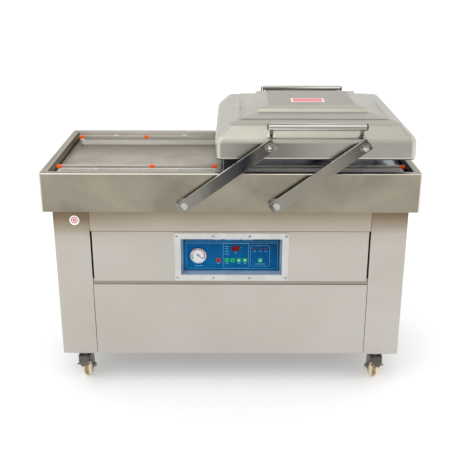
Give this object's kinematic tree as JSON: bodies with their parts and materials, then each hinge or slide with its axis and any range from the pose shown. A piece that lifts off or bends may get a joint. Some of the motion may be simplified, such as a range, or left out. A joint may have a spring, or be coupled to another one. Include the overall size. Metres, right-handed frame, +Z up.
{
  "type": "vacuum packing machine",
  "caption": "Floor-standing double-chamber vacuum packer on casters; one lid on parallel rocker arms swings from one well to the other.",
  "frame": {"origin": "on the floor, under the middle of the machine", "axes": "+X to the machine's right seen from the front along the two wells, +Y to the back, +Z up"},
  "size_m": [1.25, 0.7282, 0.9843],
  "materials": {
    "cabinet_steel": "brushed satin stainless sheet",
    "frame_steel": "mill finish tube",
    "table_steel": "brushed satin stainless sheet",
    "well_steel": "fine satin stainless sheet",
    "lid_steel": "fine satin stainless sheet",
    "arm_steel": "polished flat bar with bright edges",
    "polished_steel": "polished stainless",
    "zinc_steel": "bright zinc plate",
    "bar_base_aluminium": "extruded, lightly polished",
    "bar_head": "aluminium with a beige non-stick strip on top",
    "clip_orange": "moulded, satin",
    "panel_frame": "satin anodised",
    "panel_blue": "satin printed film",
    "key_green": "satin",
    "key_red": "satin",
    "display_dark": "dark red window",
    "gauge_metal": "chromed ring round a white dial",
    "needle_black": "matt black",
    "recess_paint": "satin light grey",
    "gasket_rubber": "matt black",
    "strip_aluminium": "extruded",
    "pump_paint": "blue machine enamel",
    "motor_paint": "dark grey machine enamel",
    "transformer_core": "lacquered laminations and coil",
    "pipe_zinc": "zinc-plated tube",
    "box_plastic": "light grey moulding",
    "bearing_iron": "painted casting",
    "spring_steel": "oiled spring wire",
    "gland_black": "moulded nylon",
    "wheel_cream": "glossy cast polyurethane tyre on a nylon hub",
    "caster_steel": "dark zinc plate",
    "pedal_steel": "black"
  },
  "bodies": {
    "machine": {"base_frame": "frame_steel", "bottom_plate": "frame_steel", "left_side_panel": "cabinet_steel", "right_side_panel": "cabinet_steel", "rear_panel": "cabinet_steel", "front_lintel": "cabinet_steel", "control_fascia": "cabinet_steel", "front_lower_panel": "cabinet_steel", "table_shell": "table_steel", "left_chamber_pan": "well_steel", "right_chamber_pan": "well_steel", "work_plates": "well_steel", "seal_bar_bases": "bar_base_aluminium", "panel_bezel": "panel_frame", "panel_screws": "polished_steel", "control_recess_box": "recess_paint", "membrane_panel": "panel_blue", "vacuum_gauge": "gauge_metal", "display_board": "display_dark", "vacuum_pump": "pump_paint", "pump_motor": "motor_paint", "transformers": "transformer_core", "vacuum_pipes": "pipe_zinc", "electrical_box": "box_plastic", "rocker_bearings": "bearing_iron", "left_balance_spring": "spring_steel", "right_balance_spring": "spring_steel", "cable_gland": "gland_black", "caster_plates": "zinc_steel"},
    "gauge_pointer": {"gauge_needle": "needle_black"},
    "power_button": {"power_key": "key_red"},
    "pump_time_button": {"pump_time_key": "key_green"},
    "seal_time_button": {"seal_time_key": "key_green"},
    "up_button": {"up_key": "key_green"},
    "down_button": {"down_key": "key_green"},
    "start_button": {"start_key": "key_green"},
    "left_rocker": {"left_rocker_shaft": "zinc_steel", "left_rocker_arms": "arm_steel"},
    "right_rocker": {"right_rocker_shaft": "zinc_steel", "right_rocker_arms": "arm_steel"},
    "lid": {"lid_shell": "lid_steel", "lid_gasket": "gasket_rubber", "gasket_channel": "lid_steel", "lid_handles": "polished_steel", "lid_seal_strips": "strip_aluminium", "lid_pivot_studs": "polished_steel"},
    "left_bars": {"left_seal_bars": "bar_head", "left_bar_clips": "clip_orange"},
    "right_bars": {"right_seal_bars": "bar_head", "right_bar_clips": "clip_orange"},
    "front_left_swivel": {"front_left_fork": "caster_steel"},
    "front_left_roller": {"front_left_wheel": "wheel_cream"},
    "front_left_pedal": {"front_left_brake": "pedal_steel"},
    "front_right_swivel": {"front_right_fork": "caster_steel"},
    "front_right_roller": {"front_right_wheel": "wheel_cream"},
    "front_right_pedal": {"front_right_brake": "pedal_steel"},
    "rear_left_swivel": {"rear_left_fork": "caster_steel"},
    "rear_left_roller": {"rear_left_wheel": "wheel_cream"},
    "rear_right_swivel": {"rear_right_fork": "caster_steel"},
    "rear_right_roller": {"rear_right_wheel": "wheel_cream"}
  },
  "joints": [
    {"name": "left_swing", "type": "hinge", "parent": "machine", "child": "left_rocker", "pos_m": [-0.1505, 0, 0.69], "axis": [0, 1, 0], "range_deg": [-117, 9], "deforming": ["left_balance_spring"]},
    {"name": "right_swing", "type": "hinge", "parent": "machine", "child": "right_rocker", "pos_m": [0.1505, 0, 0.69], "axis": [0, 1, 0], "range_deg": [-117.2, 9.2], "deforming": ["right_balance_spring"]},
    {"name": "lid_level", "type": "hinge", "parent": "left_rocker", "child": "lid", "pos_m": [0.12457, 0, 0.88985], "axis": [0, 1, 0], "range_deg": [-9.2, 117.2]},
    {"name": "left_bar_lift", "type": "slide", "parent": "machine", "child": "left_bars", "axis": [0, 0, 1], "range_m": [0, 0.008]},
    {"name": "right_bar_lift", "type": "slide", "parent": "machine", "child": "right_bars", "axis": [0, 0, 1], "range_m": [0, 0.008]},
    {"name": "gauge_turn", "type": "hinge", "parent": "machine", "child": "gauge_pointer", "pos_m": [-0.1105, -0.2435, 0.4825], "axis": [0, -1, 0], "range_deg": [0, 260], "stiffness_Nm_per_rad": 0.002},
    {"name": "power_press", "type": "slide", "parent": "machine", "child": "power_button", "axis": [0, 1, 0], "range_m": [0, 0.001], "stiffness_N_per_m": 400, "springref_m": -0.001},
    {"name": "pump_time_press", "type": "slide", "parent": "machine", "child": "pump_time_button", "axis": [0, 1, 0], "range_m": [0, 0.001], "stiffness_N_per_m": 400, "springref_m": -0.001},
    {"name": "seal_time_press", "type": "slide", "parent": "machine", "child": "seal_time_button", "axis": [0, 1, 0], "range_m": [0, 0.001], "stiffness_N_per_m": 400, "springref_m": -0.001},
    {"name": "up_press", "type": "slide", "parent": "machine", "child": "up_button", "axis": [0, 1, 0], "range_m": [0, 0.001], "stiffness_N_per_m": 400, "springref_m": -0.001},
    {"name": "down_press", "type": "slide", "parent": "machine", "child": "down_button", "axis": [0, 1, 0], "range_m": [0, 0.001], "stiffness_N_per_m": 400, "springref_m": -0.001},
    {"name": "start_press", "type": "slide", "parent": "machine", "child": "start_button", "axis": [0, 1, 0], "range_m": [0, 0.001], "stiffness_N_per_m": 400, "springref_m": -0.001},
    {"name": "front_left_turn", "type": "hinge", "parent": "machine", "child": "front_left_swivel", "pos_m": [-0.522, -0.244, 0.105], "axis": [0, 0, 1], "continuous": true},
    {"name": "front_left_roll", "type": "hinge", "parent": "front_left_swivel", "child": "front_left_roller", "pos_m": [-0.522, -0.216, 0.038], "axis": [1, 0, 0], "continuous": true},
    {"name": "front_left_brake_press", "type": "hinge", "parent": "front_left_swivel", "child": "front_left_pedal", "pos_m": [-0.522, -0.268, 0.084], "axis": [1, 0, 0], "range_deg": [0, 12]},
    {"name": "front_right_turn", "type": "hinge", "parent": "machine", "child": "front_right_swivel", "pos_m": [0.522, -0.244, 0.105], "axis": [0, 0, 1], "continuous": true},
    {"name": "front_right_roll", "type": "hinge", "parent": "front_right_swivel", "child": "front_right_roller", "pos_m": [0.522, -0.216, 0.038], "axis": [1, 0, 0], "continuous": true},
    {"name": "front_right_brake_press", "type": "hinge", "parent": "front_right_swivel", "child": "front_right_pedal", "pos_m": [0.522, -0.268, 0.084], "axis": [1, 0, 0], "range_deg": [0, 12]},
    {"name": "rear_left_turn", "type": "hinge", "parent": "machine", "child": "rear_left_swivel", "pos_m": [-0.522, 0.205, 0.105], "axis": [0, 0, 1], "continuous": true},
    {"name": "rear_left_roll", "type": "hinge", "parent": "rear_left_swivel", "child": "rear_left_roller", "pos_m": [-0.522, 0.233, 0.038], "axis": [1, 0, 0], "continuous": true},
    {"name": "rear_right_turn", "type": "hinge", "parent": "machine", "child": "rear_right_swivel", "pos_m": [0.522, 0.205, 0.105], "axis": [0, 0, 1], "continuous": true},
    {"name": "rear_right_roll", "type": "hinge", "parent": "rear_right_swivel", "child": "rear_right_roller", "pos_m": [0.522, 0.233, 0.038], "axis": [1, 0, 0], "continuous": true}
  ],
  "couplings": [
    {"joint": "right_swing", "follows": "left_swing", "ratio": 1},
    {"joint": "lid_level", "follows": "left_swing", "ratio": -1}
  ]
}
